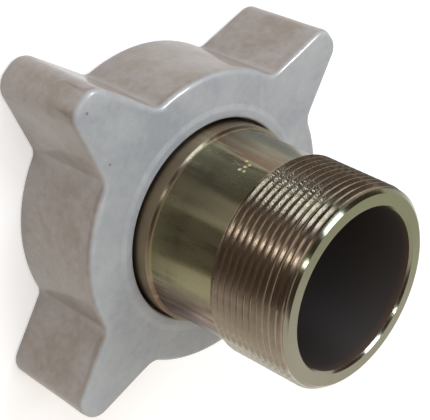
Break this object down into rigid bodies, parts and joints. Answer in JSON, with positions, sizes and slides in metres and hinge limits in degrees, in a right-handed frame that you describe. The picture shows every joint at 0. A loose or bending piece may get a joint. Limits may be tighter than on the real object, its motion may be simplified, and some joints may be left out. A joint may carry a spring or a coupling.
{
  "type": "swivel filler coupling",
  "caption": "Swivel filler coupling: cast lugged handwheel nut with a female acme thread, turning on a plated steel nipple with a male taper pipe thread and a flat seal.",
  "frame": {"origin": "centre of the nut's mouth face, on the plane that it stands on", "axes": "+Z along the common axis, from the nut's mouth to the end of the pipe thread; +X and +Y each through a lug"},
  "size_m": [0.1402, 0.1402, 0.0882],
  "materials": {
    "painted_casting": "semi-gloss light grey paint over a sand casting",
    "plated_steel": "turned steel with yellow chromate zinc plating",
    "seal_rubber": "matt black nitrile rubber"
  },
  "bodies": {
    "nipple": {"nipple": "plated_steel", "seal_gasket": "seal_rubber"},
    "handwheel": {"handwheel_nut": "painted_casting"}
  },
  "joints": [
    {"name": "nut_swivel", "type": "hinge", "parent": "nipple", "child": "handwheel", "pos_m": [0, 0, 0.0265], "axis": [0, 0, 1], "continuous": true}
  ]
}
